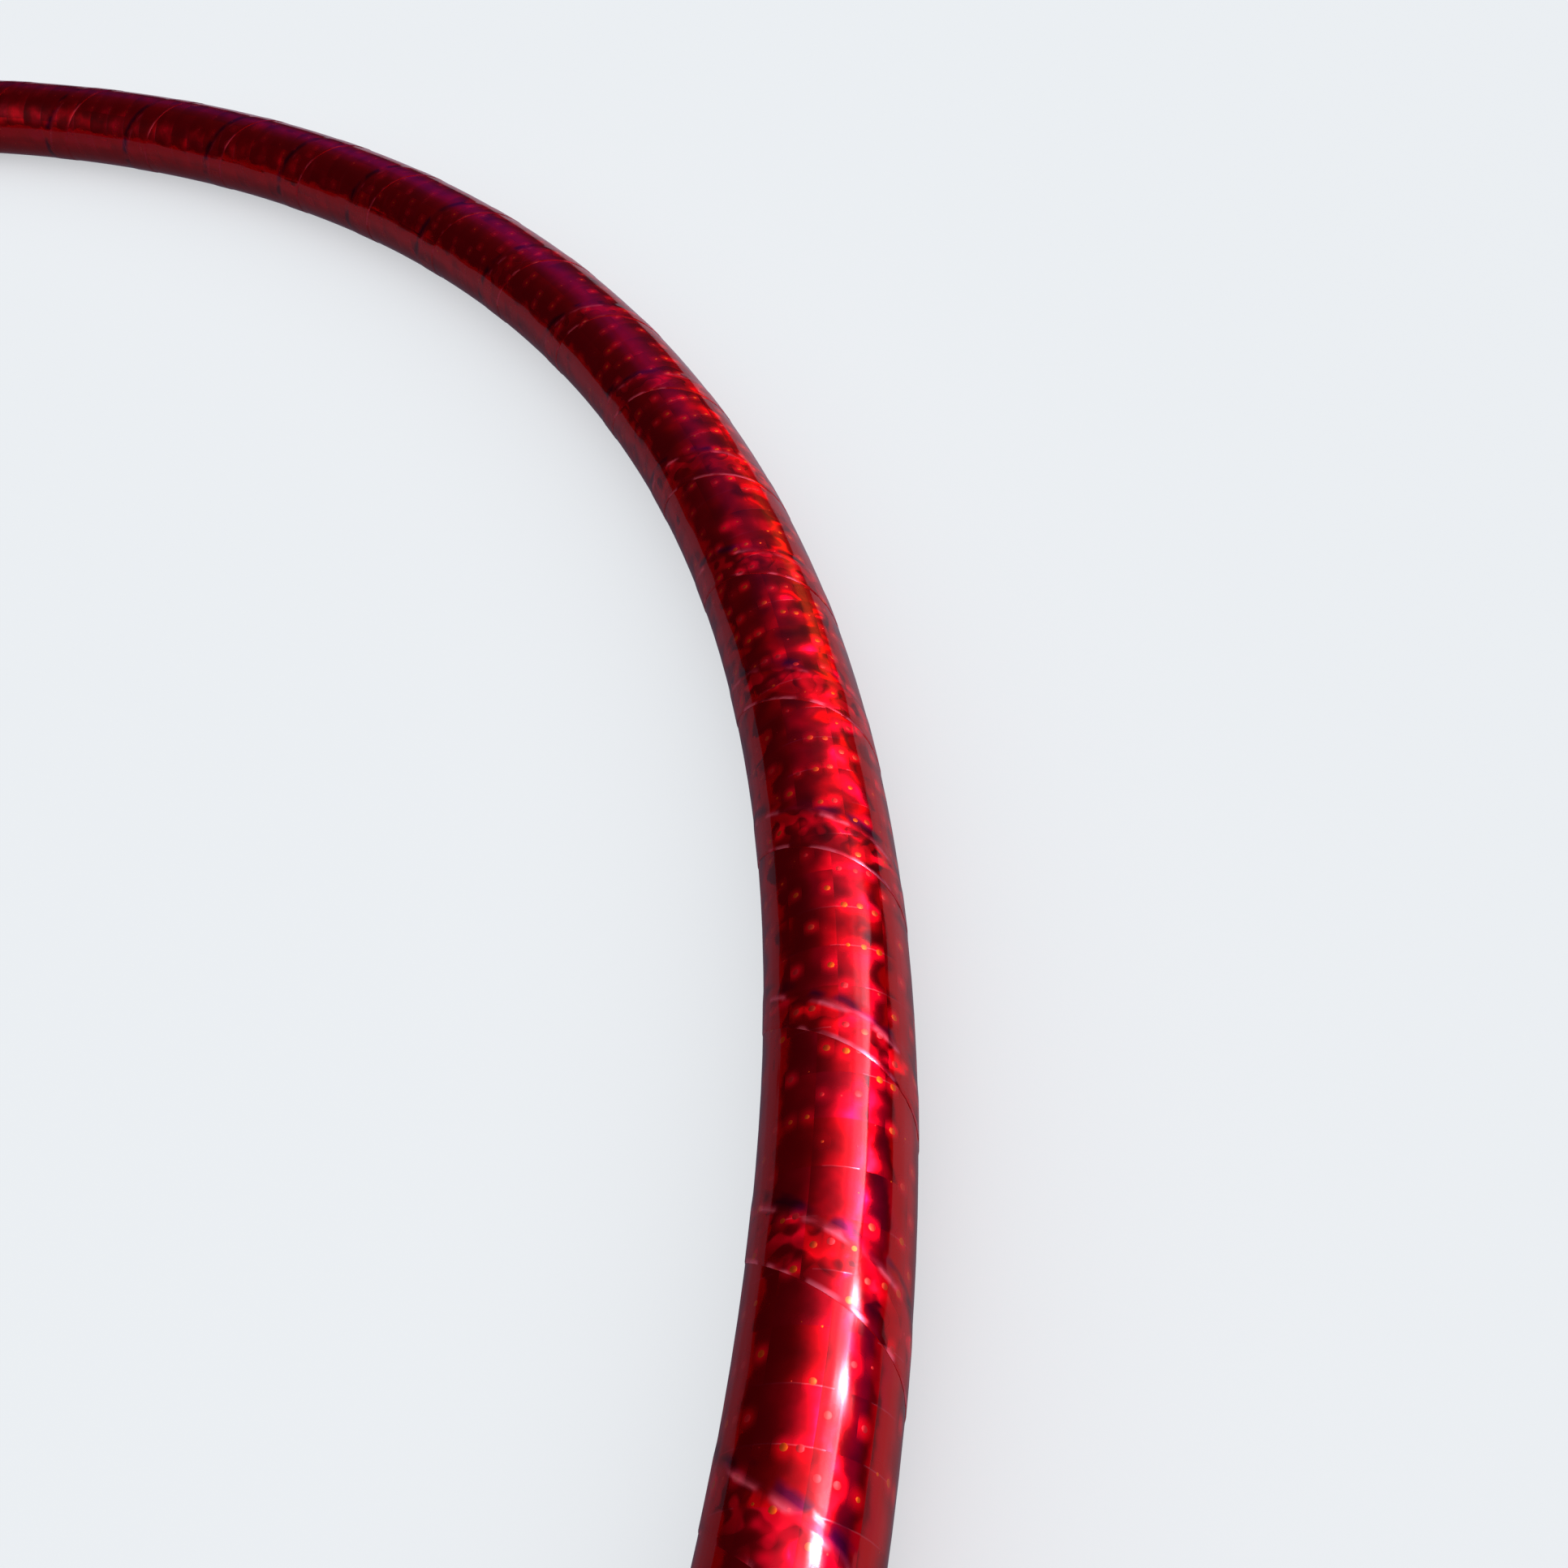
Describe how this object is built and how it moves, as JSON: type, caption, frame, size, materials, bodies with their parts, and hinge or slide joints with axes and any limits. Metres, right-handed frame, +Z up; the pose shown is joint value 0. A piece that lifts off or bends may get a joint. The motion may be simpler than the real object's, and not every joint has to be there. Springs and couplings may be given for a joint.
{
  "type": "rhythmic gymnastics hoop",
  "caption": "Round hoop of bent plastic tube with a plugged, riveted joint, wound all over with red prismatic film.",
  "frame": {"origin": "the ring's centre, on the surface that the ring lies flat on", "axes": "+Z up along the ring's axis, -X towards the tube's joint, +Y square to both"},
  "size_m": [0.75, 0.75, 0.019],
  "materials": {
    "tube_plastic": "white, extruded",
    "plug_plastic": "moulded",
    "rivet_aluminium": "plain",
    "red_film": "metallised prismatic film under a clear gloss face",
    "band_film": "metallised prismatic film under a clear gloss face"
  },
  "bodies": {
    "root": {"hoop_tube": "tube_plastic", "joint_plug": "plug_plastic", "joint_rivet_1": "rivet_aluminium", "joint_rivet_2": "rivet_aluminium", "holographic_tape": "red_film", "joint_band": "band_film"}
  },
  "joints": []
}
